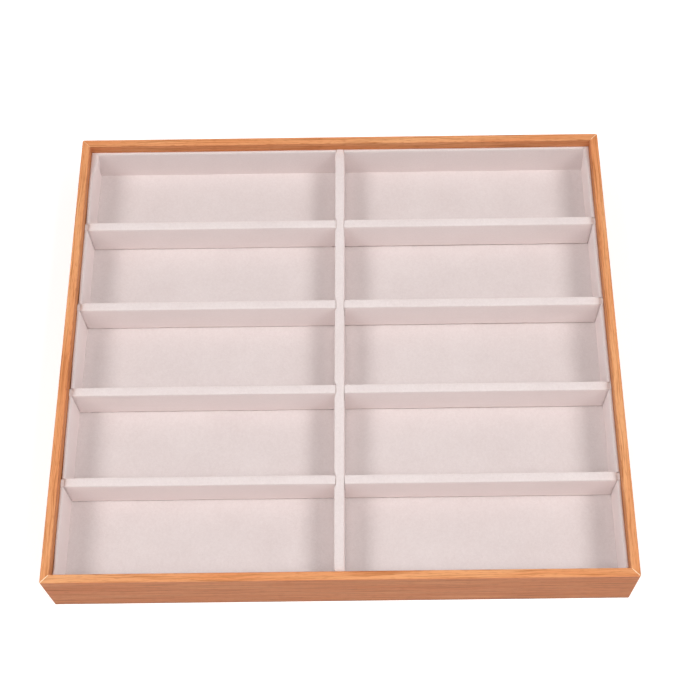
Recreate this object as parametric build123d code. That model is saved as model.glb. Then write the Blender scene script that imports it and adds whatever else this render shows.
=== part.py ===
from build123d import *
import os

# Open display tray for sunglasses, ten compartments in two columns of five.
# Millimetres. X runs left to right, Y front to rear, Z up.
# The origin is the middle of the underside.

# Driving sizes of the frame
TRAY_LENGTH = 380.0
TRAY_DEPTH = 336.0
TRAY_HEIGHT = 48.0
WALL = 5.8
FILM = 0.3
FILM_INSIDE = 20.0
CORNER_ROUND = 1.2
EDGE_ROUND = 0.7

# Driving sizes of the base, from the underside up
BASE_PAPER = 0.3
BASE_BOARD = 5.0
FOAM = 4.5
FLOOR_CARD = 1.55
REBATE = 2.5
REBATE_PLAY = 0.1
FLOOR_PLAY = 0.2

# Driving sizes of the lining and the dividers
CLOTH = 0.65
LINER_CARD = 1.0
LINER_TOP = 40.4
LINER_TURN = 10.0
DIVIDER_BOARD = 5.0
DIVIDER_TOP = 40.8
DIVIDER_LIFT = 0.5
PRESSED_CLOTH = 0.25
SLOT_PLAY = 0.25
SLOT_DEPTH = 14.0
TAB_DROP = 0.7
END_PLAY = 0.3
TAB_END_PLAY = 0.2
HALVING_GAP = 0.3
ROWS = 5

# Sizes that follow from them
HALF_LENGTH = TRAY_LENGTH / 2
HALF_DEPTH = TRAY_DEPTH / 2
REBATE_HEIGHT = BASE_PAPER + BASE_BOARD
FLOOR_TOP = REBATE_HEIGHT + FOAM + FLOOR_CARD + CLOTH
LINER = CLOTH + LINER_CARD + CLOTH
DIVIDER = DIVIDER_BOARD + 2 * CLOTH
PRESSED = DIVIDER_BOARD + 2 * PRESSED_CLOTH
SLOT = PRESSED + 2 * SLOT_PLAY
DIVIDER_FOOT = FLOOR_TOP + DIVIDER_LIFT
TAB_FOOT = LINER_TOP - SLOT_DEPTH
HALVING_HEIGHT = (DIVIDER_FOOT + DIVIDER_TOP) / 2
CROSSING = DIVIDER + 2 * SLOT_PLAY
CROSS_COUNT = ROWS - 1
LINED_DEPTH = TRAY_DEPTH - 2 * (WALL + LINER)
ROW_CLEAR = (LINED_DEPTH - CROSS_COUNT * DIVIDER) / ROWS
ROW_PITCH = ROW_CLEAR + DIVIDER
CROSS_PLACES = [((CROSS_COUNT - 1) / 2 - n) * ROW_PITCH for n in range(CROSS_COUNT)]


def block(low, high):
    """A box between two opposite corners."""
    size = [b - a for a, b in zip(low, high)]
    middle = [(a + b) / 2 for a, b in zip(low, high)]
    return Pos(*middle) * Box(*size)


def slab(inset, low, high):
    """A rectangular slab whose edges stand this far in from the tray's outer faces."""
    return block((inset - HALF_LENGTH, inset - HALF_DEPTH, low), (HALF_LENGTH - inset, HALF_DEPTH - inset, high))


def frame_ring(outside, inside, top, corner, edge):
    """A ring the shape of the frame, with rounded corners outside and rounded edges on top."""
    body = slab(outside, 0, top)
    body = fillet(body.edges().filter_by(Axis.Z), corner)
    body -= slab(inside, 0, top)
    return fillet(body.faces().sort_by(Axis.Z)[-1].edges(), edge)


def mitre_quarter(side):
    """A wedge that reaches from the tray's middle past one of its walls, cut at the mitres."""
    long_half = HALF_LENGTH + WALL
    deep_half = HALF_DEPTH + WALL
    spare = HALF_LENGTH - HALF_DEPTH
    corners = {
        "front": [(-spare, 0), (-long_half, -deep_half), (long_half, -deep_half), (spare, 0)],
        "rear": [(spare, 0), (long_half, deep_half), (-long_half, deep_half), (-spare, 0)],
        "left": [(-spare, 0), (-long_half, deep_half), (-long_half, -deep_half)],
        "right": [(spare, 0), (long_half, -deep_half), (long_half, deep_half)],
    }[side]
    return extrude(make_face(Polyline(*corners, close=True)), TRAY_HEIGHT)


def make_frame():
    """Four mitred sticks of board, and the film folded round each of them."""
    core = frame_ring(FILM, WALL - FILM, TRAY_HEIGHT - FILM, CORNER_ROUND - FILM, EDGE_ROUND - FILM)
    film = frame_ring(0, WALL, TRAY_HEIGHT, CORNER_ROUND, EDGE_ROUND)
    film -= core
    film -= slab(WALL - FILM, 0, TRAY_HEIGHT - FILM_INSIDE)
    board = core - slab(WALL - FILM - REBATE, 0, REBATE_HEIGHT)
    for side in ("front", "rear", "left", "right"):
        wedge = mitre_quarter(side)
        parts[f"{side}_wall"] = board & wedge
        parts[f"{side}_wall_film"] = film & wedge


def make_base():
    """The base board in its rebate, the paper under it, and the padded floor on top of it."""
    board_edge = WALL - FILM - REBATE + REBATE_PLAY
    pad_edge = WALL + FLOOR_PLAY
    foam_low = REBATE_HEIGHT
    card_low = foam_low + FOAM
    card_high = card_low + FLOOR_CARD
    card = slab(pad_edge + CLOTH, card_low, card_high)
    parts["base_paper"] = slab(board_edge, 0, BASE_PAPER)
    parts["base_board"] = slab(board_edge, BASE_PAPER, REBATE_HEIGHT)
    parts["floor_foam"] = slab(pad_edge, foam_low, card_low)
    parts["floor_card"] = card
    parts["floor_lining"] = slab(pad_edge, card_low, FLOOR_TOP) - card


def make_liners():
    """The lined card strips along the walls, slotted from above for the dividers' ends."""
    face = WALL + LINER
    card_back = WALL + CLOTH
    card_front = card_back + LINER_CARD
    card_top = LINER_TOP - CLOTH
    slots = block((-SLOT / 2, -HALF_DEPTH, TAB_FOOT), (SLOT / 2, HALF_DEPTH, LINER_TOP))
    for place in CROSS_PLACES:
        slots += block((-HALF_LENGTH, place - SLOT / 2, TAB_FOOT), (HALF_LENGTH, place + SLOT / 2, LINER_TOP))
    card = slab(card_back, FLOOR_TOP, card_top) - slab(card_front, FLOOR_TOP, card_top)
    cloth = slab(WALL, FLOOR_TOP, LINER_TOP) - slab(face, FLOOR_TOP, LINER_TOP)
    cloth -= card
    cloth -= slab(WALL, FLOOR_TOP, LINER_TOP - LINER_TURN) - slab(card_back, FLOOR_TOP, LINER_TOP - LINER_TURN)
    card -= slots
    cloth -= slots
    for side in ("front", "rear", "left", "right"):
        wedge = mitre_quarter(side)
        parts[f"{side}_liner_card"] = card & wedge
        parts[f"{side}_liner_cloth"] = cloth & wedge


def divider(half_span, half_reach, thick, tab_thick, skin):
    """One divider along X, brought in all round by a skin: the main board and a tab at each end."""
    top = DIVIDER_TOP - skin
    tab_top = top - TAB_DROP
    main = block((-half_span, -thick / 2, DIVIDER_FOOT), (half_span, thick / 2, top))
    tabs = block((-half_reach, -tab_thick / 2, TAB_FOOT), (half_reach, tab_thick / 2, tab_top))
    return main + tabs


def covered_divider(half_lined, crossings, halved_from_above):
    """The board and the cloth of one divider along X, with its halving slots at the crossings."""
    half_span = half_lined - END_PLAY
    half_reach = half_lined + LINER - TAB_END_PLAY
    board = divider(half_span, half_reach, DIVIDER_BOARD, DIVIDER_BOARD, CLOTH)
    cloth = divider(half_span, half_reach, DIVIDER, PRESSED, 0)
    for place in crossings:
        if halved_from_above:
            low = HALVING_HEIGHT - HALVING_GAP / 2
            halving = block((place - SLOT / 2, -DIVIDER, low), (place + SLOT / 2, DIVIDER, DIVIDER_TOP))
            board -= halving
            cloth -= halving
        else:
            half = CROSSING / 2
            high = HALVING_HEIGHT + HALVING_GAP / 2
            halving = block((place - half, -DIVIDER, DIVIDER_FOOT), (place + half, DIVIDER, high))
            pinch = block((place - half, -DIVIDER, high), (place + half, DIVIDER, DIVIDER_TOP))
            pinch -= block((place - half, -PRESSED / 2, high), (place + half, PRESSED / 2, DIVIDER_TOP))
            board -= halving
            cloth -= halving + pinch
    return board, cloth - board


def make_dividers():
    """One centre divider, slotted from below, over four cross dividers, slotted from above."""
    board, cloth = covered_divider(HALF_DEPTH - WALL - LINER, CROSS_PLACES, False)
    parts["centre_divider_board"] = Rot(0, 0, 90) * board
    parts["centre_divider_cloth"] = Rot(0, 0, 90) * cloth
    board, cloth = covered_divider(HALF_LENGTH - WALL - LINER, [0], True)
    for number, place in enumerate(CROSS_PLACES, 1):
        parts[f"cross_divider_{number}_board"] = Pos(0, place, 0) * board
        parts[f"cross_divider_{number}_cloth"] = Pos(0, place, 0) * cloth


parts = {}
make_frame()
make_base()
make_liners()
make_dividers()

os.makedirs("parts", exist_ok=True)
for name, solid in parts.items():
    solid.label = name
    export_step(solid, f"parts/{name}.step")
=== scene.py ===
import math

import bmesh
import bpy
from mathutils import Matrix, Vector, noise


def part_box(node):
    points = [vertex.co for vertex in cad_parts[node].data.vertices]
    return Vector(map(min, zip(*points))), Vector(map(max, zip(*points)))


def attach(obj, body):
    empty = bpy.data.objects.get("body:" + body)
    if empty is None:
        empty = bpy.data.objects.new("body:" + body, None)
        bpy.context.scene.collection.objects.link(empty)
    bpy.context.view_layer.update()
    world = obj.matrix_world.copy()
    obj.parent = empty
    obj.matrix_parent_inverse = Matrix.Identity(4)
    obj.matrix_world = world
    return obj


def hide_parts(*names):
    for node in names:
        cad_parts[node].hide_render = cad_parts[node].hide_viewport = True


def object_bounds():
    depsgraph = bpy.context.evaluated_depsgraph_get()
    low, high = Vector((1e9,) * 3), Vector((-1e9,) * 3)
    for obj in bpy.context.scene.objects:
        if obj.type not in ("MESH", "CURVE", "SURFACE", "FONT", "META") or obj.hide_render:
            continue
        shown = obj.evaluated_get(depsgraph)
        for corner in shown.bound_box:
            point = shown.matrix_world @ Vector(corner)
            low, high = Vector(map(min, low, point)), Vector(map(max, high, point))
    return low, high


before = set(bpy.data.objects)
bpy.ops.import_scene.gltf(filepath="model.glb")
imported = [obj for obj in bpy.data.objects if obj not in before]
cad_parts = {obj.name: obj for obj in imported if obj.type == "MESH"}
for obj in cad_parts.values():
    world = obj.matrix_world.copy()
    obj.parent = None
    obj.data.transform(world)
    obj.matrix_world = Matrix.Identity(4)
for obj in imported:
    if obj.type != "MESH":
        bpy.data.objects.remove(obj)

bl_info = {
    "name": "Sunglasses display tray",
    "version": (1, 0, 0),
    "blender": (4, 5, 0),
    "location": "3D View > Sidebar > Tray",
    "description": "Dresses a lined sunglasses tray: wrapped walls, flannel lining and lift-out dividers",
    "category": "Object",
}

# One millimetre in scene units
MM = 0.001

# The tray's CAD box, taken before anything is added
CAD_LOW, CAD_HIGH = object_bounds()

# Sizes read from the CAD pieces
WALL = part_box("left_wall_film")[1].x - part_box("left_wall_film")[0].x
HALF_LENGTH = CAD_HIGH.x
HALF_DEPTH = CAD_HIGH.y
RIM = CAD_HIGH.z
LINER_LOW, LINER_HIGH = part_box("left_liner_cloth")
LINER = LINER_HIGH.x - LINER_LOW.x
LINER_FOOT = LINER_LOW.z
LINER_TOP = LINER_HIGH.z
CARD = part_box("left_liner_card")[1].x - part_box("left_liner_card")[0].x
CLOTH = (LINER - CARD) / 2
FLOOR_LOW, FLOOR_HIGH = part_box("floor_lining")
FLOOR_CARD_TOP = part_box("floor_card")[1].z
COVER_LOW, COVER_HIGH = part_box("centre_divider_cloth")
BOARD_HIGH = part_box("centre_divider_board")[1]
DIVIDER_HALF = COVER_HIGH.x
DIVIDER_TOP = COVER_HIGH.z
DIVIDER_FOOT = COVER_LOW.z
BOARD_HALF = BOARD_HIGH.x
BOARD_TOP = BOARD_HIGH.z
CROSS_NAMES = [f"cross_divider_{number}" for number in range(1, 5)]
CROSS_PLACES = [sum(corner.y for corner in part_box(f"{name}_board")) / 2 for name in CROSS_NAMES]
CROSS_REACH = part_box("cross_divider_1_cloth")[1].x
CENTRE_REACH = COVER_HIGH.y

# Sizes of the slots and tabs, as the CAD pieces have them
PRESSED_CLOTH = 0.25 * MM
SLOT_PLAY = 0.25 * MM
SLOT_DEPTH = 14 * MM
TAB_DROP = 0.7 * MM
TAB_SET_BACK = 0.1 * MM
HALVING_PLAY = 0.15 * MM
LINER_TURN = 10 * MM
PRESSED_HALF = BOARD_HALF + PRESSED_CLOTH
SLOT_HALF = PRESSED_HALF + SLOT_PLAY
CROSSING_HALF = DIVIDER_HALF + SLOT_PLAY
TAB_FOOT = LINER_TOP - SLOT_DEPTH
TAB_LENGTH = LINER + TAB_SET_BACK
HALVING_HEIGHT = (DIVIDER_FOOT + DIVIDER_TOP) / 2

# Spacing of the rings and grids that the cloth is made of
CLOTH_STEP = 2 * MM

# How the dividers' cloth is drawn in and down near the crossings and the ends, and turned in at its foot
PINCH_REACH = 2 * MM
END_REACH = 2.5 * MM
END_DROOP = 0.35 * MM
SQUEEZE = 0.15 * MM
CENTRE_DIP = 0.1 * MM
CROSS_DIP = 0.5 * MM
CROSS_DIP_REACH = 2.2 * MM
FOOT_TURN = 0.8 * MM
TAB_FOOT_TURN = 0.05 * MM

# How far the cross dividers' cloth ends above the foot of its board, on the left and right halves
LEFT_FOOT_GAP = 0.15 * MM
RIGHT_FOOT_GAP = 0.4 * MM

# How far the centre divider's cloth stands to the left half way along, how much that changes by its ends,
# and the least cloth that stays over its board
CENTRE_SHIFT = 0.42 * MM
CENTRE_SHIFT_CHANGE = 0.3 * MM
LEAST_CLOTH = 0.15 * MM

# How the lining strips stand off the timber: all bow, the left one's flaps spring off at their front ends,
# and the left and right ones are bunched at the rear
BOW = 0.1 * MM
SPRING = 0.6 * MM
LEFT_PUFF = 2.6 * MM
RIGHT_PUFF = 1.3 * MM

# The mitre filler stands this proud of the film and reaches this deep into the mitre
FILLER_PROUD = 0.05 * MM
FILLER_DEPTH = 0.15 * MM

# Each lamp's place and width in metres, and the stage setting that holds its power
LAMPS = {
    "front_lamp": ((0.0, -0.98, 2.3), 0.75, "front"),
    "left_lamp": ((-1.27, -0.42, 1.99), 0.9, "left"),
    "right_lamp": ((1.27, -0.42, 1.99), 0.9, "right"),
}

# The camera of the photograph: its place in metres, its turns in degrees, its lens and its shift
CAMERA_PLACE = (0.02378, -0.42477, 0.90918)
CAMERA_TURNS = (26.7585, 0.554, -0.5285)
CAMERA_SENSOR = 36.0
CAMERA_LENS = 74.29
CAMERA_SHIFT = (-0.0412, -0.0175)

SIDES = ("front", "rear", "left", "right")


def linear(hex_colour):
    """An sRGB hex colour as linear red, green, blue and alpha."""
    channels = [int(hex_colour[i : i + 2], 16) / 255 for i in (1, 3, 5)]
    flat = [c / 12.92 if c <= 0.04045 else ((c + 0.055) / 1.055) ** 2.4 for c in channels]
    return (*flat, 1.0)


def colour_property(name, description, hex_colour):
    return bpy.props.FloatVectorProperty(
        name=name,
        description=description,
        subtype="COLOR",
        size=4,
        min=0.0,
        max=1.0,
        default=linear(hex_colour),
    )


def length_property(name, description, default):
    return bpy.props.FloatProperty(
        name=name, description=description, default=default, min=0.0, unit="LENGTH", precision=5
    )


def number_property(name, description, default):
    return bpy.props.FloatProperty(name=name, description=description, default=default, min=0.0)


class TrayWallSettings(bpy.types.PropertyGroup):
    light_grain: colour_property("Light grain", "The palest streaks of the printed film", "#DFA06F")
    mid_grain: colour_property("Mid grain", "The film's main colour", "#D68B5A")
    dark_grain: colour_property("Dark grain", "The darkest streaks of the printed film", "#A05B2C")
    # The foot colour is partly painted contact shadow and partly the film's darker turned-under edge
    foot: colour_property("Foot shadow and film edge", "The film where it turns under the wall", "#6E4228")
    # The outer faces' tint is painted light and the inner faces' tint is painted shade
    outer_face_painted_light: colour_property("Outer faces' tint", "Multiplies the outer faces' colour", "#FFF2F6")
    inner_face_painted_shade: colour_property("Inner faces' tint", "Multiplies the inner faces' colour", "#F4EEEE")
    board: colour_property("Board", "Raw fibreboard inside the walls and in the base", "#A98563")
    filler: colour_property("Mitre filler", "The wax filler in the mitres", "#FBDDB9")
    filler_width: length_property("Filler width", "Widest part of the filler line on a mitre", 0.55 * MM)


class TrayLiningSettings(bpy.types.PropertyGroup):
    cloth: colour_property("Flannel", "The lining's main colour", "#E0D5D3")
    shade: colour_property("Flannel shade", "The lining where its nap lies the other way", "#D6C9C7")
    # The edge-on colour is a painted sheen, mixed in where a face is seen at a grazing angle
    glow: colour_property("Flannel edge-on", "The lining seen along its nap, where it is palest", "#F1E3E1")
    card: colour_property("Card", "Card and board inside the lining", "#DCD3C8")
    foam: colour_property("Foam", "The foam sheet under the floor", "#F0EFEB")
    paper: colour_property("Backing paper", "The paper under the base board", "#6B4A33")
    edge_round: length_property("Edge rounding", "Rounding of the cloth on a divider's top", 0.8 * MM)
    softness: length_property("Softness", "How far the cloth rises and falls over its board", 0.12 * MM)
    floor_softness: length_property("Floor softness", "How far the floor's cloth rises", 0.15 * MM)
    fibre_length: length_property("Fibre length", "Longest of the loose fibres on the top edges", 0.7 * MM)
    fibre_density: number_property("Fibre density", "Loose fibres for each square millimetre", 1.4)


class TrayStageSettings(bpy.types.PropertyGroup):
    floor: colour_property("Floor", "The plain floor under the tray", "#FAFAFA")
    horizon: number_property("Sky at the horizon", "Strength of the soft light from low down", 0.93)
    zenith: number_property("Sky overhead", "Strength of the soft light from straight above", 0.05)
    front: number_property("Front lamp", "Power of the wide lamp above the front, in watts", 10.0)
    left: number_property("Left lamp", "Power of the lamp to the left, in watts", 23.2)
    right: number_property("Right lamp", "Power of the lamp to the right, in watts", 25.2)


def add_node(tree, kind, inputs=None, **settings):
    """Adds one node with its settings. Each input is a plain value, or the output that feeds it."""
    made = tree.nodes.new(kind)
    for name, value in settings.items():
        setattr(made, name, value)
    for socket, value in (inputs or {}).items():
        if isinstance(value, bpy.types.NodeSocket):
            tree.links.new(value, made.inputs[socket])
        else:
            made.inputs[socket].default_value = value
    return made


def new_material(name):
    material = bpy.data.materials.new(name)
    material.use_nodes = True
    material.node_tree.nodes.clear()
    return material, material.node_tree


def finish_material(tree, colour, normal, constants):
    """Ends a material in a principled shader, with its constants on the shader's own sockets."""
    inputs = {"Base Color": colour, "Normal": normal, **constants}
    shader = add_node(tree, "ShaderNodeBsdfPrincipled", inputs)
    add_node(tree, "ShaderNodeOutputMaterial", {"Surface": shader.outputs["BSDF"]})


def stretched_noise(tree, along, across, seed, length, width, detail):
    """Noise drawn out along the grain: one patch is about length by width."""
    far = add_node(tree, "ShaderNodeMath", {0: along, 1: 1 / length}, operation="MULTIPLY")
    near = add_node(tree, "ShaderNodeMath", {0: across, 1: 1 / width}, operation="MULTIPLY")
    vector = add_node(
        tree, "ShaderNodeCombineXYZ", {"X": far.outputs[0], "Y": near.outputs[0], "Z": float(seed)}
    )
    inputs = {"Vector": vector.outputs[0], "Scale": 1.0, "Detail": detail}
    return add_node(tree, "ShaderNodeTexNoise", inputs).outputs["Fac"]


def wood_film(name, lengthwise, inward, seed, settings):
    """Wood-grain PVC film, printed and lightly embossed: a satin skin with long streaks and fine pores."""
    material, tree = new_material(name)
    coordinates = add_node(tree, "ShaderNodeTexCoord").outputs
    parts = add_node(tree, "ShaderNodeSeparateXYZ", {"Vector": coordinates["Object"]}).outputs
    along, flat = (parts["X"], parts["Y"]) if lengthwise == "X" else (parts["Y"], parts["X"])
    turned = add_node(tree, "ShaderNodeMath", {0: flat, 1: inward}, operation="MULTIPLY")
    across = add_node(
        tree, "ShaderNodeMath", {0: parts["Z"], 1: turned.outputs[0]}, operation="ADD"
    ).outputs[0]
    # The grain wanders, with broad bands 6 mm wide, streaks 1 mm wide and pores 0.45 mm wide
    wander = stretched_noise(tree, along, across, seed + 9, 60 * MM, 14 * MM, 2.0)
    bent = add_node(
        tree, "ShaderNodeMath", {0: wander, 1: 6 * MM, 2: across}, operation="MULTIPLY_ADD"
    ).outputs[0]
    broad = stretched_noise(tree, along, bent, seed, 120 * MM, 6 * MM, 2.0)
    streak = stretched_noise(tree, along, bent, seed + 3, 50 * MM, 1.0 * MM, 3.0)
    pore = stretched_noise(tree, along, across, seed + 5, 6 * MM, 0.45 * MM, 1.0)
    pale = add_node(tree, "ShaderNodeMapRange", {"Value": broad, "From Min": 0.35, "From Max": 0.65})
    main = add_node(
        tree,
        "ShaderNodeMix",
        {0: pale.outputs[0], 6: settings.mid_grain, 7: settings.light_grain},
        data_type="RGBA",
    )
    line = add_node(
        tree, "ShaderNodeMapRange", {"Value": streak, "From Min": 0.5, "From Max": 0.68, "To Max": 0.7}
    )
    streaked = add_node(
        tree,
        "ShaderNodeMix",
        {0: line.outputs[0], 6: main.outputs[2], 7: settings.dark_grain},
        data_type="RGBA",
    )
    speck = add_node(
        tree, "ShaderNodeMapRange", {"Value": pore, "From Min": 0.55, "From Max": 0.72, "To Max": 0.5}
    )
    colour = add_node(
        tree,
        "ShaderNodeMix",
        {0: speck.outputs[0], 6: streaked.outputs[2], 7: settings.dark_grain},
        data_type="RGBA",
    )
    # The film is darker over the lowest 2.4 mm of the wall: partly painted contact shadow at the foot,
    # partly the film's own edge where it turns under
    foot = add_node(
        tree,
        "ShaderNodeMapRange",
        {"Value": parts["Z"], "From Min": 0.8 * MM, "From Max": 2.4 * MM, "To Min": 0.55, "To Max": 0.0},
    )
    colour = add_node(
        tree, "ShaderNodeMix", {0: foot.outputs[0], 6: colour.outputs[2], 7: settings.foot}, data_type="RGBA"
    )
    # Painted light and shade by which way a face turns: below the rim the outer faces are tinted a little
    # redder and the inner ones painted darker
    turns = add_node(tree, "ShaderNodeSeparateXYZ", {"Vector": coordinates["Normal"]}).outputs
    facing = turns["Y"] if lengthwise == "X" else turns["X"]
    for sign, tint in ((-inward, settings.outer_face_painted_light), (inward, settings.inner_face_painted_shade)):
        share = add_node(tree, "ShaderNodeMapRange", {"Value": facing, "From Min": 0.0, "From Max": sign})
        colour = add_node(
            tree,
            "ShaderNodeMix",
            {0: share.outputs[0], 6: colour.outputs[2], 7: tint},
            data_type="RGBA",
            blend_type="MULTIPLY",
        )
    bump = add_node(
        tree, "ShaderNodeBump", {"Height": pore, "Strength": 0.3, "Distance": 0.05 * MM}, invert=True
    )
    constants = {"Roughness": 0.55, "Specular IOR Level": 0.1, "IOR": 1.53}
    finish_material(tree, colour.outputs[2], bump.outputs["Normal"], constants)
    return material


def raw_board(settings):
    """Medium-density fibreboard, sawn and left raw: matt brown with fine fibre flecks."""
    material, tree = new_material("raw_fibreboard")
    place = add_node(tree, "ShaderNodeTexCoord").outputs["Object"]
    fleck, cloud = (
        add_node(
            tree, "ShaderNodeTexNoise", {"Vector": place, "Scale": 1 / size, "Detail": detail}
        ).outputs["Fac"]
        for size, detail in ((0.6 * MM, 3.0), (14 * MM, 2.0))
    )
    share = add_node(tree, "ShaderNodeMath", {0: fleck, 1: cloud}, operation="MULTIPLY")
    spread = add_node(
        tree, "ShaderNodeMapRange", {"Value": share.outputs[0], "From Min": 0.12, "From Max": 0.4}
    )
    pale = tuple(min(1.0, 1.35 * c) for c in settings.board)
    colour = add_node(
        tree, "ShaderNodeMix", {0: spread.outputs[0], 6: settings.board, 7: pale}, data_type="RGBA"
    )
    bump = add_node(tree, "ShaderNodeBump", {"Height": fleck, "Strength": 0.5, "Distance": 0.08 * MM})
    constants = {"Roughness": 0.9, "Specular IOR Level": 0.2}
    finish_material(tree, colour.outputs[2], bump.outputs["Normal"], constants)
    return material


def mottled(name, colour, shade, grain, depth, constants):
    """A matt sheet whose colour drifts between two shades, with a grain of this size and depth."""
    material, tree = new_material(name)
    place = add_node(tree, "ShaderNodeTexCoord").outputs["Object"]
    cloud, fine = (
        add_node(
            tree, "ShaderNodeTexNoise", {"Vector": place, "Scale": 1 / size, "Detail": detail}
        ).outputs["Fac"]
        for size, detail in ((9 * MM, 3.0), (grain, 2.0))
    )
    spread = add_node(tree, "ShaderNodeMapRange", {"Value": cloud, "From Min": 0.3, "From Max": 0.7})
    colours = add_node(tree, "ShaderNodeMix", {0: spread.outputs[0], 6: shade, 7: colour}, data_type="RGBA")
    bump = add_node(tree, "ShaderNodeBump", {"Height": fine, "Strength": 0.4, "Distance": depth})
    finish_material(tree, colours.outputs[2], bump.outputs["Normal"], constants)
    return material


def flannel(name, cloth, shade, glow):
    """Short-napped flannel: matt, with a painted sheen that makes it paler at grazing angles, speckled where
    the nap stands or lies.
    """
    material, tree = new_material(name)
    place = add_node(tree, "ShaderNodeTexCoord").outputs["Object"]
    # Real nap is about 0.1 mm. It is drawn at 0.7 mm and 1.6 mm, which is what shows from a step away.
    speckle, tuft, brushed = (
        add_node(
            tree, "ShaderNodeTexNoise", {"Vector": place, "Scale": 1 / size, "Detail": detail}
        ).outputs["Fac"]
        for size, detail in ((0.7 * MM, 3.0), (1.6 * MM, 2.0), (26 * MM, 2.0))
    )
    both = add_node(tree, "ShaderNodeMath", {0: speckle, 1: tuft}, operation="ADD")
    all_three = add_node(
        tree, "ShaderNodeMath", {0: brushed, 1: 0.8, 2: both.outputs[0]}, operation="MULTIPLY_ADD"
    )
    spread = add_node(
        tree, "ShaderNodeMapRange", {"Value": all_three.outputs[0], "From Min": 0.95, "From Max": 1.85}
    )
    colour = add_node(tree, "ShaderNodeMix", {0: spread.outputs[0], 6: shade, 7: cloth}, data_type="RGBA")
    # Painted sheen: where a face is seen at a grazing angle, its colour is mixed towards the pale edge-on
    # colour, as if the nap caught the light
    facing = add_node(tree, "ShaderNodeLayerWeight", {"Blend": 0.5}).outputs["Facing"]
    painted_sheen_share = add_node(
        tree, "ShaderNodeMapRange", {"Value": facing, "From Min": 0.15, "From Max": 0.7, "To Max": 0.6}
    )
    colour = add_node(
        tree, "ShaderNodeMix", {0: painted_sheen_share.outputs[0], 6: colour.outputs[2], 7: glow}, data_type="RGBA"
    )
    height = add_node(tree, "ShaderNodeMath", {0: speckle, 1: 0.5, 2: tuft}, operation="MULTIPLY_ADD")
    bump = add_node(
        tree, "ShaderNodeBump", {"Height": height.outputs[0], "Strength": 0.6, "Distance": 0.22 * MM}
    )
    constants = {
        "Roughness": 0.95,
        "Specular IOR Level": 0.12,
        "Sheen Weight": 0.7,
        "Sheen Roughness": 0.5,
        "Sheen Tint": cloth,
    }
    finish_material(tree, colour.outputs[2], bump.outputs["Normal"], constants)
    return material


def seen_rays(tree):
    """1 for what the camera sees, also mirrored or through glass, and 0 for what only gives light."""
    path = add_node(tree, "ShaderNodeLightPath").outputs
    mirrored = add_node(
        tree,
        "ShaderNodeMath",
        {0: path["Is Glossy Ray"], 1: path["Is Transmission Ray"]},
        operation="MAXIMUM",
    )
    seen = add_node(
        tree, "ShaderNodeMath", {0: path["Is Camera Ray"], 1: mirrored.outputs[0]}, operation="MAXIMUM"
    )
    return seen.outputs[0]


def dress(node, material):
    """Gives a CAD piece its material."""
    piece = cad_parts[node]
    piece.data.materials.clear()
    piece.data.materials.append(material)


def material_named(name):
    if name not in bpy.data.materials:
        raise RuntimeError(f"make the materials first: {name} is missing")
    return bpy.data.materials[name]


def filled_mesh(name, shape):
    """A mesh made from this shape, which is then freed."""
    data = bpy.data.meshes.new(name)
    shape.to_mesh(data)
    shape.free()
    return data


def mesh_piece(name, rings, material, body):
    """A closed skin through rings of points, smooth where it bends gently, riding on a body."""
    shape = bmesh.new()
    rows = [[shape.verts.new(point) for point in ring] for ring in rings]
    count = len(rows[0])
    for row, after in zip(rows, rows[1:]):
        for i in range(count):
            j = (i + 1) % count
            shape.faces.new((row[i], row[j], after[j], after[i]))
    shape.faces.new(rows[0])
    shape.faces.new(rows[-1])
    bmesh.ops.recalc_face_normals(shape, faces=shape.faces)
    return placed(name, filled_mesh(name, shape), material, body)


def placed(name, data, material, body):
    """Puts a finished mesh in the scene as a piece."""
    data.materials.clear()
    data.materials.append(material)
    data.shade_smooth()
    data.set_sharp_from_angle(angle=math.radians(50))
    piece = bpy.data.objects.new(name, data)
    bpy.context.scene.collection.objects.link(piece)
    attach(piece, body)
    return piece


def cut_slots(piece, boxes):
    """Cuts boxes out of a closed piece and leaves a plain closed mesh."""
    shape = bmesh.new()
    for low, high in boxes:
        size = [b - a for a, b in zip(low, high)]
        middle = [(a + b) / 2 for a, b in zip(low, high)]
        place = Matrix.Translation(middle) @ Matrix.Diagonal((*size, 1))
        bmesh.ops.create_cube(shape, size=1.0, matrix=place)
    cutter_data = filled_mesh("slot_cutter", shape)
    cutter = bpy.data.objects.new("slot_cutter", cutter_data)
    bpy.context.scene.collection.objects.link(cutter)
    modifier = piece.modifiers.new("slots", "BOOLEAN")
    modifier.operation = "DIFFERENCE"
    modifier.solver = "MANIFOLD"
    modifier.object = cutter
    bpy.context.view_layer.update()
    graph = bpy.context.evaluated_depsgraph_get()
    cut = bpy.data.meshes.new_from_object(piece.evaluated_get(graph))
    piece.modifiers.clear()
    material = piece.data.materials[0]
    old = piece.data
    piece.data = cut
    piece.data.materials.clear()
    piece.data.materials.append(material)
    bpy.data.meshes.remove(old)
    bpy.data.objects.remove(cutter)
    bpy.data.meshes.remove(cutter_data)
    if not piece.data.polygons:
        raise RuntimeError(f"{piece.name} came out empty when its slots were cut")


def eased(value, start, end):
    """0 before start, 1 after end, smooth in between. Start may be above end."""
    share = min(1.0, max(0.0, (value - start) / (end - start)))
    return share * share * (3 - 2 * share)


def rumple(a, b, seed, amount):
    """A soft rise and fall over a few centimetres, with a smaller one over a few millimetres."""
    wide = noise.noise(Vector((a / (32 * MM), b / (18 * MM), seed)))
    small = noise.noise(Vector((a / (6 * MM), b / (6 * MM), seed + 40)))
    return amount * (wide + 0.35 * small)


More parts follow.
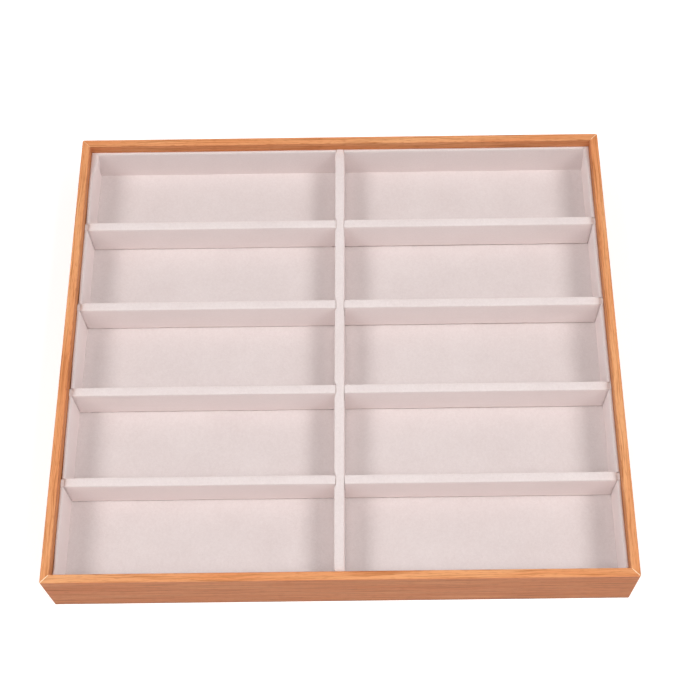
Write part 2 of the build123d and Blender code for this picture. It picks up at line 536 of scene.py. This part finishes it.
def arch(half, top, foot, corner, turned, side_steps=9, corner_steps=4, top_steps=4):
    """An upturned U, as (across, height) points. Each foot is turned in a little."""
    low = foot + turned
    points = [(0.5 * turned - half, foot), (0.15 * turned - half, foot + 0.4 * turned)]
    points += [(-half, low + (top - corner - low) * i / side_steps) for i in range(side_steps + 1)]
    for i in range(1, corner_steps):
        turn = math.pi / 2 * i / corner_steps
        points.append((-half + corner * (1 - math.cos(turn)), top - corner + corner * math.sin(turn)))
    for i in range(top_steps + 1):
        points.append((-half + corner + 2 * (half - corner) * i / top_steps, top))
    mirrored = [(-t, z) for t, z in reversed(points[: side_steps + corner_steps + 2])]
    return points + mirrored


def steps_between(start, end, spacing):
    count = max(1, round((end - start) / spacing))
    return [start + (end - start) * i / count for i in range(count)]


def divider_cover(name, reach, crossings, over, place, settings, seed):
    """The flannel over one divider: a thin closed skin round its board, with tabs and halving slots."""
    span = reach - TAB_LENGTH
    step = 0.1 * MM
    marks = [-reach, -span - step, -span + step, span - step, span + step, reach]
    stations = []
    for start, end in zip(marks, marks[1:]):
        stations += steps_between(start, end, CLOTH_STEP)
    stations.append(reach)

    def ring(s):
        on_tab = abs(s) > span
        near_crossing = min(abs(s - c) for c in crossings)
        pinch = 1 - eased(near_crossing, CROSSING_HALF, CROSSING_HALF + PINCH_REACH)
        to_end = eased(span - abs(s), END_REACH, 0)
        pressed = DIVIDER_HALF - PRESSED_HALF
        top = DIVIDER_TOP - (TAB_DROP if on_tab else END_DROOP * to_end)
        foot = TAB_FOOT if on_tab else DIVIDER_FOOT
        shift = 0.0
        if over:
            held = 1.0 if on_tab else max(0.5 * to_end, pinch)
            half = DIVIDER_HALF - pressed * held + SQUEEZE * (1 - held)
            top -= CENTRE_DIP * pinch
            # The cloth stands a little to the left, more so towards the front, and still covers its board
            wanted = CENTRE_SHIFT - CENTRE_SHIFT_CHANGE * s / HALF_DEPTH
            shift = min(wanted, half - BOARD_HALF - LEAST_CLOTH)
        else:
            half = DIVIDER_HALF - (pressed if on_tab else SQUEEZE) * max(pinch, to_end)
            top -= CROSS_DIP * (1 - eased(near_crossing, SLOT_HALF, SLOT_HALF + CROSS_DIP_REACH))
            # The cloth ends a little above the board's foot
            if not on_tab:
                foot += LEFT_FOOT_GAP if s < 0 else RIGHT_FOOT_GAP
        inner_top = BOARD_TOP - (TAB_DROP if on_tab else 0)
        turned = TAB_FOOT_TURN if on_tab else FOOT_TURN
        free = 0.0 if on_tab else 1 - pinch
        points = []
        for t, z in arch(half, top, foot, settings.edge_round, turned):
            lift = rumple(s, z + t, seed, settings.softness) * free
            side = math.copysign(1, t) * eased(abs(t), 0.6 * half, half)
            points.append((t + side * lift + shift * free, z + (lift * 0.8 if z > top - 0.1 * MM else 0)))
        inner = [(BOARD_HALF, foot), (BOARD_HALF, inner_top), (-BOARD_HALF, inner_top), (-BOARD_HALF, foot)]
        return points + inner

    rings = []
    for s in stations:
        if over:
            rings.append([Vector((-t, s, z)) for t, z in ring(s)])
        else:
            rings.append([Vector((s, place + t, z)) for t, z in ring(s)])
    body = "centre_divider" if over else "cross_dividers"
    piece = mesh_piece(name, rings, material_named("napped_flannel"), body)
    wide = DIVIDER_HALF + 2 * MM
    if over:
        low = DIVIDER_FOOT - MM
        high = HALVING_HEIGHT + HALVING_PLAY
        boxes = [((-wide, c - CROSSING_HALF, low), (wide, c + CROSSING_HALF, high)) for c in crossings]
    else:
        low = HALVING_HEIGHT - HALVING_PLAY
        boxes = [((-SLOT_HALF, place - wide, low), (SLOT_HALF, place + wide, DIVIDER_TOP + MM))]
    cut_slots(piece, boxes)
    return piece


def wall_point(side, s, d, z):
    """A point by its place along a wall, its distance in from the timber and its height."""
    if side == "left":
        return Vector((-HALF_LENGTH + WALL + d, s, z))
    if side == "right":
        return Vector((HALF_LENGTH - WALL - d, s, z))
    if side == "front":
        return Vector((s, -HALF_DEPTH + WALL + d, z))
    return Vector((s, HALF_DEPTH - WALL - d, z))


def liner_slots(side):
    """Where the slots stand along a wall."""
    return CROSS_PLACES if side in ("left", "right") else [0.0]


def lean_of(side, s, z):
    """How far the slotted part of a lining strip stands off the timber here."""
    height = eased(z, TAB_FOOT - 6 * MM, LINER_TOP)
    half = (HALF_DEPTH if side in ("left", "right") else HALF_LENGTH) - WALL
    marks = sorted([-half, *liner_slots(side), half])
    count = sum(1 for mark in marks[1:-1] if mark <= s)
    low, high = marks[count], marks[count + 1]
    share = (s - low) / (high - low)
    corner = eased(half - abs(s), 0, 6 * MM)
    amount = BOW * math.sin(share * math.pi) ** 2
    if side == "left":
        # The front end of each flap has sprung off the timber
        amount += SPRING * eased(share, 0.5, 0.0)
    return amount * height * corner


def puff_of(side, s, z):
    """How far the cloth's face stands off its card here: it is bunched at the two rear corners."""
    if side not in ("left", "right"):
        return 0.0
    half = HALF_DEPTH - WALL
    height = eased(z, LINER_FOOT + 4 * MM, LINER_TOP - 4 * MM)
    amount = LEFT_PUFF if side == "left" else RIGHT_PUFF
    return amount * height * eased(half - s, 22 * MM, 7 * MM)


def liner_strip(name, side, profile, material, settings, seed, soft):
    """One strip along a wall, mitred at its ends, with its slots cut from above."""
    half = (HALF_DEPTH if side in ("left", "right") else HALF_LENGTH) - WALL
    deepest = max(d for d, _ in profile)
    inside = half - deepest - 0.2 * MM
    rows = [None, *steps_between(-inside, inside, CLOTH_STEP), inside, None]
    rings = []
    for number, s in enumerate(rows):
        ring = []
        for d, z in profile:
            here = s if s is not None else math.copysign(half - d, number - 0.5)
            face = soft * eased(d, 0, LINER)
            lift = face * (rumple(here, z, seed, settings.softness) + puff_of(side, here, z))
            ring.append(wall_point(side, here, d + lean_of(side, here, z) + lift, z))
        rings.append(ring)
    piece = mesh_piece(name, rings, material, "tray")
    boxes = []
    for slot in liner_slots(side):
        a = wall_point(side, slot - SLOT_HALF, -MM, TAB_FOOT)
        b = wall_point(side, slot + SLOT_HALF, 9 * MM, LINER_TOP + 2 * MM)
        boxes.append(([min(p, q) for p, q in zip(a, b)], [max(p, q) for p, q in zip(a, b)]))
    cut_slots(piece, boxes)
    return piece


def cloth_profile(steps=12):
    """The cloth of a lining strip in section: up its face, over the top and down behind the card."""
    corner = LINER / 2 - 0.02 * MM
    face = [(LINER, LINER_FOOT + (LINER_TOP - corner - LINER_FOOT) * i / steps) for i in range(steps + 1)]
    over = []
    for i in range(1, 8):
        turn = math.pi * i / 8
        over.append((LINER / 2 + corner * math.cos(turn), LINER_TOP - corner + corner * math.sin(turn)))
    behind = [(0.0, LINER_TOP - corner), (0.0, LINER_TOP - LINER_TURN)]
    card_top = LINER_TOP - CLOTH
    inner = [
        (CLOTH, LINER_TOP - LINER_TURN),
        (CLOTH, card_top - 0.2 * MM),
        (CLOTH + 0.2 * MM, card_top),
        (CLOTH + CARD - 0.2 * MM, card_top),
        (CLOTH + CARD, card_top - 0.2 * MM),
    ]
    inside_face = [(CLOTH + CARD, z) for _, z in reversed(face[:-1])]
    return face + over + behind + inner + inside_face


def card_profile(steps=12):
    """The card of a lining strip in section."""
    top = LINER_TOP - CLOTH - 0.02 * MM
    heights = [LINER_FOOT + (top - LINER_FOOT) * i / steps for i in range(steps + 1)]
    front = [(CLOTH + CARD - 0.02 * MM, z) for z in heights]
    back = [(CLOTH + 0.02 * MM, z) for z in reversed(heights)]
    return front + back


def ribbon(name, path, material, body):
    """A thin bead along a path of (point, outward direction, half width), a little proud of the surface."""
    rings = []
    for i, (point, outward, half) in enumerate(path):
        before = path[max(0, i - 1)][0]
        after = path[min(len(path) - 1, i + 1)][0]
        along = (after - before).normalized()
        out = outward.normalized()
        aside = along.cross(out).normalized()
        rings.append(
            [
                point - aside * half - out * FILLER_DEPTH,
                point - aside * half,
                point - aside * half * 0.5 + out * FILLER_PROUD,
                point + aside * half * 0.5 + out * FILLER_PROUD,
                point + aside * half,
                point + aside * half - out * FILLER_DEPTH,
            ]
        )
    return mesh_piece(name, rings, material, body)


def fibre_tree(material):
    """Geometry nodes that stand loose fibres on the upper faces of a cloth."""
    tree = bpy.data.node_groups.new("loose_fibres", "GeometryNodeTree")
    tree.is_modifier = True
    face = tree.interface
    face.new_socket("Geometry", in_out="INPUT", socket_type="NodeSocketGeometry")
    for name in ("Fibre length", "Fibre radius", "Density", "Lowest height"):
        face.new_socket(name, in_out="INPUT", socket_type="NodeSocketFloat")
    face.new_socket("Seed", in_out="INPUT", socket_type="NodeSocketInt")
    face.new_socket("Geometry", in_out="OUTPUT", socket_type="NodeSocketGeometry")
    given = add_node(tree, "NodeGroupInput").outputs
    normal = add_node(tree, "GeometryNodeInputNormal").outputs[0]
    place = add_node(tree, "GeometryNodeInputPosition").outputs[0]
    upward = add_node(tree, "ShaderNodeSeparateXYZ", {0: normal}).outputs["Z"]
    height = add_node(tree, "ShaderNodeSeparateXYZ", {0: place}).outputs["Z"]
    faces_up = add_node(tree, "FunctionNodeCompare", {0: upward, 1: 0.3}, operation="GREATER_THAN")
    high = add_node(
        tree, "FunctionNodeCompare", {0: height, 1: given["Lowest height"]}, operation="GREATER_THAN"
    )
    both = add_node(
        tree, "FunctionNodeBooleanMath", {0: faces_up.outputs[0], 1: high.outputs[0]}, operation="AND"
    )
    points = add_node(
        tree,
        "GeometryNodeDistributePointsOnFaces",
        {
            "Mesh": given["Geometry"],
            "Selection": both.outputs[0],
            "Density": given["Density"],
            "Seed": given["Seed"],
        },
    ).outputs
    fibre = add_node(
        tree,
        "GeometryNodeMeshCone",
        {
            "Vertices": 3,
            "Radius Top": 0.0,
            "Radius Bottom": given["Fibre radius"],
            "Depth": given["Fibre length"],
        },
    )
    # Each fibre leans up to about 50 degrees, is turned any way round and has its own length
    lean = add_node(
        tree,
        "FunctionNodeRandomValue",
        {0: (-0.9, -0.9, -3.1), 1: (0.9, 0.9, 3.1), "Seed": given["Seed"]},
        data_type="FLOAT_VECTOR",
    )
    size = add_node(
        tree, "FunctionNodeRandomValue", {2: 0.35, 3: 1.0, "Seed": given["Seed"]}, data_type="FLOAT"
    )
    tilt = add_node(
        tree,
        "FunctionNodeRotateRotation",
        {"Rotation": points["Rotation"], "Rotate By": lean.outputs[0]},
        rotation_space="LOCAL",
    )
    stood = add_node(
        tree,
        "GeometryNodeInstanceOnPoints",
        {
            "Points": points["Points"],
            "Instance": fibre.outputs["Mesh"],
            "Rotation": tilt.outputs[0],
            "Scale": size.outputs[1],
        },
    )
    real = add_node(tree, "GeometryNodeRealizeInstances", {0: stood.outputs[0]})
    coated = add_node(tree, "GeometryNodeSetMaterial", {"Geometry": real.outputs[0], "Material": material})
    add_node(tree, "NodeGroupOutput", {0: coated.outputs[0]})
    return tree


def fibres_on(name, covers, body, settings, seed):
    """Loose fibres on the top edges of some covers, as one plain mesh for their body."""
    material = material_named("napped_flannel")
    shape = bmesh.new()
    for cover in covers:
        shape.from_mesh(cover.data)
    source = filled_mesh(name + "_source", shape)
    holder = bpy.data.objects.new(name + "_source", source)
    bpy.context.scene.collection.objects.link(holder)
    tree = fibre_tree(material)
    modifier = holder.modifiers.new("fibres", "NODES")
    modifier.node_group = tree
    values = {
        "Fibre length": settings.fibre_length,
        "Fibre radius": 0.05 * MM,
        "Density": settings.fibre_density / MM**2,
        "Lowest height": LINER_TOP - 1.2 * MM,
        "Seed": seed,
    }
    for item in tree.interface.items_tree:
        if item.item_type == "SOCKET" and item.name in values:
            modifier[item.identifier] = values[item.name]
    bpy.context.view_layer.update()
    graph = bpy.context.evaluated_depsgraph_get()
    data = bpy.data.meshes.new_from_object(holder.evaluated_get(graph))
    bpy.data.objects.remove(holder)
    bpy.data.meshes.remove(source)
    bpy.data.node_groups.remove(tree)
    if not data.polygons:
        raise RuntimeError(f"{name} has no fibres")
    data.name = name
    return placed(name, data, material, body)


class TRAY_OT_materials(bpy.types.Operator):
    """Makes the materials of the tray's walls, boards and lining"""

    bl_idname = "tray.materials"
    bl_label = "Make materials"

    def execute(self, context):
        walls = context.scene.tray_walls
        lining = context.scene.tray_lining
        wood_film("wood_grain_film_front", "X", 1.0, 1, walls)
        wood_film("wood_grain_film_rear", "X", -1.0, 21, walls)
        wood_film("wood_grain_film_left", "Y", 1.0, 41, walls)
        wood_film("wood_grain_film_right", "Y", -1.0, 61, walls)
        raw_board(walls)
        flannel("napped_flannel", lining.cloth, lining.shade, lining.glow)
        # Painted shade: the floor and the rear strip get a copy of the flannel made a little darker
        pressed = [tuple(0.93 * c for c in colour) for colour in (lining.cloth, lining.shade)]
        flannel("pressed_flannel", *pressed, lining.glow)
        darker_card = tuple(0.86 * c for c in lining.card)
        mottled("pressed_card", lining.card, darker_card, 0.5 * MM, 0.05 * MM, {"Roughness": 0.85})
        darker_foam = tuple(0.95 * c for c in lining.foam)
        mottled("foam_sheet", lining.foam, darker_foam, 0.8 * MM, 0.15 * MM, {"Roughness": 0.8})
        darker_paper = tuple(0.8 * c for c in lining.paper)
        mottled("backing_paper", lining.paper, darker_paper, 0.4 * MM, 0.04 * MM, {"Roughness": 0.75})
        darker_filler = tuple(0.9 * c for c in walls.filler)
        mottled("wax_filler", walls.filler, darker_filler, 0.7 * MM, 0.03 * MM, {"Roughness": 0.5})
        return {"FINISHED"}


class TRAY_OT_walls(bpy.types.Operator):
    """Dresses the four mitred walls and runs a line of filler along each mitre"""

    bl_idname = "tray.walls"
    bl_label = "Dress walls"

    def execute(self, context):
        settings = context.scene.tray_walls
        for side in SIDES:
            dress(f"{side}_wall", material_named("raw_fibreboard"))
            dress(f"{side}_wall_film", material_named(f"wood_grain_film_{side}"))
        widths = {"front_left": 1.0, "front_right": 0.75, "rear_left": 0.35, "rear_right": 0.7}
        for name, share in widths.items():
            across = -1 if "left" in name else 1
            along = -1 if "front" in name else 1
            self.filler(f"{name}_mitre_filler", across, along, share * settings.filler_width / 2)
        return {"FINISHED"}

    def filler(self, name, across, along, half):
        """The filler of one mitre: up the inner corner, over the top and a little way down the outside."""
        outward = Vector((across, along, 0)).normalized()
        corner = Vector((across * HALF_LENGTH, along * HALF_DEPTH, 0))
        inner = corner - Vector((across * WALL, along * WALL, 0))
        # The outer corner's rounding, 1.2 mm, brings the film in by this much on the mitre's line
        rounding = 0.5 * MM
        up = Vector((0, 0, 1))
        level = inner + up * RIM
        path = [
            (inner + up * (RIM - 6 * MM), -outward, half * 0.3),
            (inner + up * (RIM - 0.8 * MM), -outward, half * 0.6),
            (level + outward * 0.2 * MM - up * 0.25 * MM, (up - outward), half * 0.7),
            (level + outward * 1.0 * MM, up, half * 0.8),
            (level + outward * 3.5 * MM, up, half),
            (level + outward * 5.5 * MM, up, half),
            (corner - outward * (rounding + 0.7 * MM) + up * RIM, up, half),
            (corner - outward * (rounding + 0.2 * MM) + up * (RIM - 0.2 * MM), (up + outward), half * 0.9),
            (corner - outward * rounding + up * (RIM - 0.7 * MM), outward, half * 0.8),
            (corner - outward * rounding + up * (RIM - 3.0 * MM), outward, half * 0.4),
            (corner - outward * rounding + up * (RIM - 5.0 * MM), outward, half * 0.15),
        ]
        ribbon(name, path, material_named("wax_filler"), "tray")


class TRAY_OT_base(bpy.types.Operator):
    """Dresses the base board, its backing paper, the foam and the cards and boards inside the lining"""

    bl_idname = "tray.base"
    bl_label = "Dress base and boards"

    def execute(self, context):
        dress("base_board", material_named("raw_fibreboard"))
        dress("base_paper", material_named("backing_paper"))
        dress("floor_foam", material_named("foam_sheet"))
        dress("floor_card", material_named("pressed_card"))
        dress("centre_divider_board", material_named("raw_fibreboard"))
        for name in CROSS_NAMES:
            dress(f"{name}_board", material_named("raw_fibreboard"))
        return {"FINISHED"}


class TRAY_OT_floor_lining(bpy.types.Operator):
    """Lays the flannel over the floor"""

    bl_idname = "tray.floor_lining"
    bl_label = "Lay floor lining"

    def execute(self, context):
        settings = context.scene.tray_lining
        edge = 0.35 * MM
        edge_drop = 0.2 * MM

        def marks(low, high):
            between = steps_between(low + CLOTH_STEP, high - edge, CLOTH_STEP)
            return [low, low + edge, *between, high - edge, high]

        xs = marks(FLOOR_LOW.x, FLOOR_HIGH.x)
        ys = marks(FLOOR_LOW.y, FLOOR_HIGH.y)
        shape = bmesh.new()

        def sheet(height, soft, drop):
            rows = []
            for j, y in enumerate(ys):
                row = []
                for i, x in enumerate(xs):
                    at_edge = i in (0, len(xs) - 1) or j in (0, len(ys) - 1)
                    rise = rumple(x, y, 7.0, soft)
                    row.append(shape.verts.new((x, y, height + (-drop if at_edge else rise))))
                rows.append(row)
            return rows

        top = sheet(FLOOR_HIGH.z, settings.floor_softness, edge_drop)
        under = sheet(FLOOR_CARD_TOP, 0.0, 0.0)
        for rows in (top, under):
            for row, after in zip(rows, rows[1:]):
                for a, b, c, d in zip(row, row[1:], after[1:], after):
                    shape.faces.new((a, b, c, d))
        for loop in (
            [(row[0], low[0]) for row, low in zip(top, under)],
            [(row[-1], low[-1]) for row, low in zip(top, under)],
            list(zip(top[0], under[0])),
            list(zip(top[-1], under[-1])),
        ):
            for (a, b), (c, d) in zip(loop, loop[1:]):
                shape.faces.new((a, b, d, c))
        bmesh.ops.recalc_face_normals(shape, faces=shape.faces)
        data = filled_mesh("floor_flannel", shape)
        # The floor's flannel is the darker copy, with painted shade
        piece = placed("floor_flannel", data, material_named("pressed_flannel"), "tray")
        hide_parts("floor_lining")
        return {"FINISHED"}


class TRAY_OT_liners(bpy.types.Operator):
    """Lines the four walls with slotted card and flannel strips"""

    bl_idname = "tray.liners"
    bl_label = "Line walls"

    def execute(self, context):
        settings = context.scene.tray_lining
        cloths = []
        for seed, side in enumerate(SIDES, 11):
            cloth = liner_strip(
                f"{side}_strip_flannel",
                side,
                cloth_profile(),
                # The rear strip's flannel is the darker copy, with painted shade
                material_named("pressed_flannel" if side == "rear" else "napped_flannel"),
                settings,
                seed,
                1.0,
            )
            card = liner_strip(
                f"{side}_strip_card",
                side,
                card_profile(),
                material_named("pressed_card"),
                settings,
                seed,
                0.0,
            )
            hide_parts(f"{side}_liner_cloth")
            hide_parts(f"{side}_liner_card")
            cloths.append(cloth)
        fibres_on("strip_fibres", cloths, "tray", settings, 5)
        return {"FINISHED"}


class TRAY_OT_dividers(bpy.types.Operator):
    """Covers the centre divider and the four cross dividers with flannel"""

    bl_idname = "tray.dividers"
    bl_label = "Cover dividers"

    def execute(self, context):
        settings = context.scene.tray_lining
        centre = divider_cover(
            "centre_divider_flannel", CENTRE_REACH, CROSS_PLACES, True, 0.0, settings, 31.0
        )
        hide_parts("centre_divider_cloth")
        covers = []
        for seed, (name, place) in enumerate(zip(CROSS_NAMES, CROSS_PLACES), 32):
            cover = divider_cover(
                f"{name}_flannel", CROSS_REACH, [0.0], False, place, settings, float(seed)
            )
            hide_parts(f"{name}_cloth")
            covers.append(cover)
        fibres_on("centre_divider_fibres", [centre], "centre_divider", settings, 3)
        fibres_on("cross_divider_fibres", covers, "cross_dividers", settings, 4)
        return {"FINISHED"}


class TRAY_OT_stage(bpy.types.Operator):
    """Sets the plain floor, the soft studio light and the camera"""

    bl_idname = "tray.stage"
    bl_label = "Set stage"

    def execute(self, context):
        settings = context.scene.tray_stage
        self.floor(settings)
        self.sky(context.scene, settings)
        for name, (place, size, setting) in LAMPS.items():
            self.lamp(name, place, size, getattr(settings, setting))
        self.camera(context.scene)
        context.scene.view_settings.view_transform = "Standard"
        return {"FINISHED"}

    def floor(self, settings):
        bpy.ops.mesh.primitive_plane_add(size=12.0)
        floor = bpy.context.object
        floor.name = "studio_floor"
        material, tree = new_material("white_studio_floor")
        seen = seen_rays(tree)
        # Far from the tray the lamps fall off, so the floor is lifted more there to stay white
        place = add_node(tree, "ShaderNodeTexCoord").outputs["Object"]
        away = add_node(tree, "ShaderNodeVectorMath", {0: place}, operation="LENGTH").outputs["Value"]
        lift = add_node(
            tree,
            "ShaderNodeMapRange",
            {"Value": away, "From Min": 0.4, "From Max": 1.2, "To Min": 0.25, "To Max": 1.0},
        )
        glow = add_node(tree, "ShaderNodeMath", {0: seen, 1: lift.outputs[0]}, operation="MULTIPLY")
        # The floor looks white, and throws only a little of its light back on the tray
        dimmed = tuple(0.4 * c for c in settings.floor)
        colour = add_node(tree, "ShaderNodeMix", {0: seen, 6: dimmed, 7: settings.floor}, data_type="RGBA")
        shader = add_node(
            tree,
            "ShaderNodeBsdfPrincipled",
            {
                "Base Color": colour.outputs[2],
                "Roughness": 1.0,
                "Specular IOR Level": 0.0,
                "Emission Color": (1, 1, 1, 1),
                "Emission Strength": glow.outputs[0],
            },
        )
        add_node(tree, "ShaderNodeOutputMaterial", {"Surface": shader.outputs[0]})
        floor.data.materials.append(material)

    def sky(self, scene, settings):
        scene.world = bpy.data.worlds.new("even_sky")
        scene.world.use_nodes = True
        tree = scene.world.node_tree
        tree.nodes.clear()
        seen = seen_rays(tree)
        direction = add_node(tree, "ShaderNodeTexCoord").outputs["Generated"]
        height = add_node(tree, "ShaderNodeSeparateXYZ", {"Vector": direction}).outputs["Z"]
        soft = add_node(
            tree,
            "ShaderNodeMapRange",
            {"Value": height, "To Min": settings.horizon, "To Max": settings.zenith},
        )
        strength = add_node(
            tree, "ShaderNodeMapRange", {"Value": seen, "To Min": soft.outputs[0], "To Max": 1.0}
        )
        sky = add_node(
            tree, "ShaderNodeBackground", {"Color": (1, 1, 1, 1), "Strength": strength.outputs[0]}
        )
        add_node(tree, "ShaderNodeOutputWorld", {"Surface": sky.outputs[0]})

    def lamp(self, name, place, size, power):
        """A round soft lamp that points at the tray."""
        data = bpy.data.lights.new(name, "AREA")
        data.shape = "DISK"
        data.size = size
        data.energy = power
        lamp = bpy.data.objects.new(name, data)
        bpy.context.scene.collection.objects.link(lamp)
        lamp.location = place
        lamp.rotation_euler = (-Vector(place)).to_track_quat("-Z", "Y").to_euler()

    def camera(self, scene):
        """The photograph looks down at about 63 degrees, a little from the right of the tray's middle."""
        data = bpy.data.cameras.new("camera")
        data.sensor_width = CAMERA_SENSOR
        data.lens = CAMERA_LENS
        data.shift_x, data.shift_y = CAMERA_SHIFT
        camera = bpy.data.objects.new("camera", data)
        scene.collection.objects.link(camera)
        camera.location = CAMERA_PLACE
        camera.rotation_euler = [math.radians(turn) for turn in CAMERA_TURNS]
        scene.camera = camera


class TRAY_PT_panel(bpy.types.Panel):
    """Lists the steps that dress the tray"""

    bl_label = "Sunglasses tray"
    bl_idname = "TRAY_PT_panel"
    bl_space_type = "VIEW_3D"
    bl_region_type = "UI"
    bl_category = "Tray"

    def draw(self, context):
        layout = self.layout
        for operator in OPERATORS:
            layout.operator(operator.bl_idname)
        for group in (context.scene.tray_walls, context.scene.tray_lining, context.scene.tray_stage):
            box = layout.box()
            for name in group.__annotations__:
                box.prop(group, name)


GROUPS = {
    "tray_walls": TrayWallSettings,
    "tray_lining": TrayLiningSettings,
    "tray_stage": TrayStageSettings,
}
OPERATORS = (
    TRAY_OT_materials,
    TRAY_OT_walls,
    TRAY_OT_base,
    TRAY_OT_floor_lining,
    TRAY_OT_liners,
    TRAY_OT_dividers,
    TRAY_OT_stage,
)


def register():
    for name, group in GROUPS.items():
        bpy.utils.register_class(group)
        setattr(bpy.types.Scene, name, bpy.props.PointerProperty(type=group))
    for operator in OPERATORS:
        bpy.utils.register_class(operator)
    bpy.utils.register_class(TRAY_PT_panel)


def unregister():
    bpy.utils.unregister_class(TRAY_PT_panel)
    for operator in reversed(OPERATORS):
        bpy.utils.unregister_class(operator)
    for name, group in GROUPS.items():
        delattr(bpy.types.Scene, name)
        bpy.utils.unregister_class(group)


def main():
    register()
    bpy.ops.tray.materials()
    bpy.ops.tray.walls()
    bpy.ops.tray.base()
    bpy.ops.tray.floor_lining()
    bpy.ops.tray.liners()
    bpy.ops.tray.dividers()
    bpy.ops.tray.stage()
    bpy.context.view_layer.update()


if __name__ == "__main__":
    main()
